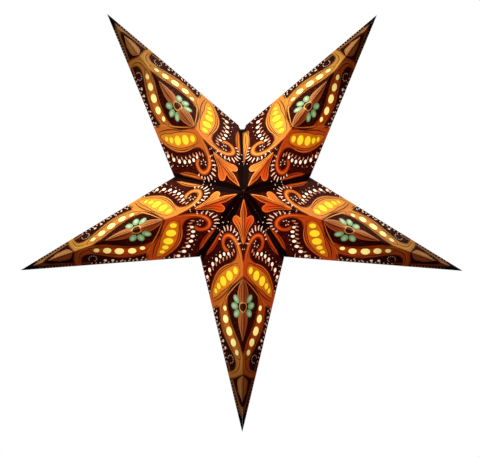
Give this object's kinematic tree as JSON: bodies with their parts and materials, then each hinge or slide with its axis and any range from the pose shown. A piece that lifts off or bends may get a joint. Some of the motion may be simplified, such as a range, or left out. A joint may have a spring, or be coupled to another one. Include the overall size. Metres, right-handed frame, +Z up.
{
  "type": "paper star lantern",
  "caption": "Hanging star lantern folded from die-cut printed card with tissue lining around a lampholder and bulb; untied at its seam, it folds like a fan.",
  "frame": {"origin": "centre of the top face of the cord gland, just inside the top notch between the two upper arms", "axes": "-Y out of the front of the star, +Z up, +X to the right seen from the front"},
  "size_m": [0.597, 0.183, 0.5679],
  "materials": {
    "printed_card": "printed satin card, dark red ground with orange and cream pattern",
    "tissue": "thin yellow tissue paper",
    "string": "twisted cotton",
    "brass": "bright",
    "plain_card": "uncoated",
    "black_plastic": "fine moulded",
    "ceramic": "unglazed",
    "bulb_glass": "clear",
    "filament": "glowing"
  },
  "bodies": {
    "light_unit": {"cord_gland": "black_plastic", "rest_disc": "plain_card", "lampholder_cap": "black_plastic", "lampholder_body": "black_plastic", "contact_block": "ceramic"},
    "bulb": {"bulb_cap": "brass", "bulb_glass": "bulb_glass", "bulb_filament": "filament"},
    "front_01": {"front_panel_01": "printed_card", "front_tissue_01": "tissue", "seam_flap": "printed_card"},
    "front_02": {"front_panel_02": "printed_card", "front_tissue_02": "tissue"},
    "front_03": {"front_panel_03": "printed_card", "front_tissue_03": "tissue"},
    "front_04": {"front_panel_04": "printed_card", "front_tissue_04": "tissue"},
    "front_05": {"front_panel_05": "printed_card", "front_tissue_05": "tissue"},
    "front_06": {"front_panel_06": "printed_card", "front_tissue_06": "tissue"},
    "front_07": {"front_panel_07": "printed_card", "front_tissue_07": "tissue"},
    "front_08": {"front_panel_08": "printed_card", "front_tissue_08": "tissue"},
    "front_09": {"front_panel_09": "printed_card", "front_tissue_09": "tissue"},
    "front_10": {"front_panel_10": "printed_card", "front_tissue_10": "tissue"},
    "back_01": {"back_panel_01": "printed_card", "back_tissue_01": "tissue", "upper_eyelet_right": "brass", "upper_tie_right": "string", "lower_eyelet_right": "brass", "lower_tie_right": "string"},
    "back_02": {"back_panel_02": "printed_card", "back_tissue_02": "tissue"},
    "back_03": {"back_panel_03": "printed_card", "back_tissue_03": "tissue"},
    "back_04": {"back_panel_04": "printed_card", "back_tissue_04": "tissue"},
    "back_05": {"back_panel_05": "printed_card", "back_tissue_05": "tissue"},
    "back_06": {"back_panel_06": "printed_card", "back_tissue_06": "tissue"},
    "back_07": {"back_panel_07": "printed_card", "back_tissue_07": "tissue"},
    "back_08": {"back_panel_08": "printed_card", "back_tissue_08": "tissue"},
    "back_09": {"back_panel_09": "printed_card", "back_tissue_09": "tissue"},
    "back_10": {"back_panel_10": "printed_card", "back_tissue_10": "tissue", "upper_eyelet_left": "brass", "upper_tie_left": "string", "lower_eyelet_left": "brass", "lower_tie_left": "string"}
  },
  "joints": [
    {"name": "lower_arm_ridge", "type": "hinge", "parent": "front_05", "child": "front_06", "pos_m": [0, -0.09031, -0.09451], "axis": [0, 0.2804, -0.9599], "range_deg": [0, 76.9]},
    {"name": "bulb_out", "type": "slide", "parent": "light_unit", "child": "bulb", "axis": [0, 0, -1], "range_m": [0, 0.024]},
    {"name": "star_off_light", "type": "slide", "parent": "light_unit", "child": "front_05", "axis": [0, 0, -1], "range_m": [0, 0.1205]},
    {"name": "lower_left_notch_valley", "type": "hinge", "parent": "front_06", "child": "front_07", "pos_m": [-0.00007, -0.09213, -0.0951], "axis": [0.4265, -0.6882, 0.587], "range_deg": [0, 112.95]},
    {"name": "left_arm_ridge", "type": "hinge", "parent": "front_07", "child": "front_08", "pos_m": [0.00047, -0.09031, -0.09485], "axis": [-0.9129, 0.2804, -0.2966], "range_deg": [0, 77.2]},
    {"name": "upper_left_notch_valley", "type": "hinge", "parent": "front_08", "child": "front_09", "pos_m": [-0.00011, -0.09213, -0.09496], "axis": [0.69, -0.6882, -0.2242], "range_deg": [0, 112.95]},
    {"name": "upper_left_arm_ridge", "type": "hinge", "parent": "front_09", "child": "front_10", "pos_m": [0.00029, -0.09031, -0.0954], "axis": [-0.5642, 0.2804, 0.7766], "range_deg": [0, 77.2]},
    {"name": "lower_right_notch_valley", "type": "hinge", "parent": "front_05", "child": "front_04", "pos_m": [0.00007, -0.09213, -0.0951], "axis": [0.4265, 0.6882, -0.587], "range_deg": [0, 112.95]},
    {"name": "right_arm_ridge", "type": "hinge", "parent": "front_04", "child": "front_03", "pos_m": [-0.00047, -0.09031, -0.09485], "axis": [-0.9129, -0.2804, 0.2966], "range_deg": [0, 77.2]},
    {"name": "upper_right_notch_valley", "type": "hinge", "parent": "front_03", "child": "front_02", "pos_m": [0.00011, -0.09213, -0.09496], "axis": [0.69, 0.6882, 0.2242], "range_deg": [0, 112.95]},
    {"name": "upper_right_arm_ridge", "type": "hinge", "parent": "front_02", "child": "front_01", "pos_m": [-0.00029, -0.09031, -0.0954], "axis": [-0.5642, -0.2804, -0.7766], "range_deg": [0, 77.2]},
    {"name": "edge_01", "type": "hinge", "parent": "front_01", "child": "back_01", "pos_m": [0.18515, 0, 0.15984], "axis": [0.761, 0, 0.6487], "range_deg": [0, 74.62]},
    {"name": "edge_02", "type": "hinge", "parent": "front_02", "child": "back_02", "pos_m": [0.18515, 0, 0.15984], "axis": [-0.3818, 0, -0.9242], "range_deg": [0, 74.62]},
    {"name": "edge_03", "type": "hinge", "parent": "front_03", "child": "back_03", "pos_m": [0.29958, 0, -0.19234], "axis": [0.8522, 0, -0.5233], "range_deg": [0, 74.62]},
    {"name": "edge_04", "type": "hinge", "parent": "front_04", "child": "back_04", "pos_m": [0.29958, 0, -0.19234], "axis": [-0.997, 0, 0.0775], "range_deg": [0, 74.62]},
    {"name": "edge_05", "type": "hinge", "parent": "front_05", "child": "back_05", "pos_m": [0, 0, -0.41], "axis": [-0.2343, 0, -0.9722], "range_deg": [0, 74.62]},
    {"name": "edge_06", "type": "hinge", "parent": "front_06", "child": "back_06", "pos_m": [0, 0, -0.41], "axis": [-0.2343, 0, 0.9722], "range_deg": [0, 74.62]},
    {"name": "edge_07", "type": "hinge", "parent": "front_07", "child": "back_07", "pos_m": [-0.29958, 0, -0.19234], "axis": [-0.997, 0, -0.0775], "range_deg": [0, 74.62]},
    {"name": "edge_08", "type": "hinge", "parent": "front_08", "child": "back_08", "pos_m": [-0.29958, 0, -0.19234], "axis": [0.8522, 0, 0.5233], "range_deg": [0, 74.62]},
    {"name": "edge_09", "type": "hinge", "parent": "front_09", "child": "back_09", "pos_m": [-0.18515, 0, 0.15984], "axis": [-0.3818, 0, 0.9242], "range_deg": [0, 74.62]},
    {"name": "edge_10", "type": "hinge", "parent": "front_10", "child": "back_10", "pos_m": [-0.18515, 0, 0.15984], "axis": [0.761, 0, -0.6487], "range_deg": [0, 74.62]}
  ],
  "couplings": [
    {"joint": "star_off_light", "follows": "lower_arm_ridge", "m_per_rad": 0.089404},
    {"joint": "lower_left_notch_valley", "follows": "lower_arm_ridge", "ratio": 1.4648},
    {"joint": "left_arm_ridge", "follows": "lower_arm_ridge", "ratio": 1},
    {"joint": "upper_left_notch_valley", "follows": "lower_arm_ridge", "ratio": 1.4648},
    {"joint": "upper_left_arm_ridge", "follows": "lower_arm_ridge", "ratio": 1},
    {"joint": "lower_right_notch_valley", "follows": "lower_arm_ridge", "ratio": 1.4648},
    {"joint": "right_arm_ridge", "follows": "lower_arm_ridge", "ratio": 1},
    {"joint": "upper_right_notch_valley", "follows": "lower_arm_ridge", "ratio": 1.4648},
    {"joint": "upper_right_arm_ridge", "follows": "lower_arm_ridge", "ratio": 1},
    {"joint": "edge_01", "follows": "lower_arm_ridge", "ratio": 0.96642},
    {"joint": "edge_02", "follows": "lower_arm_ridge", "ratio": 0.96642},
    {"joint": "edge_03", "follows": "lower_arm_ridge", "ratio": 0.96642},
    {"joint": "edge_04", "follows": "lower_arm_ridge", "ratio": 0.96642},
    {"joint": "edge_05", "follows": "lower_arm_ridge", "ratio": 0.96642},
    {"joint": "edge_06", "follows": "lower_arm_ridge", "ratio": 0.96642},
    {"joint": "edge_07", "follows": "lower_arm_ridge", "ratio": 0.96642},
    {"joint": "edge_08", "follows": "lower_arm_ridge", "ratio": 0.96642},
    {"joint": "edge_09", "follows": "lower_arm_ridge", "ratio": 0.96642},
    {"joint": "edge_10", "follows": "lower_arm_ridge", "ratio": 0.96642}
  ]
}
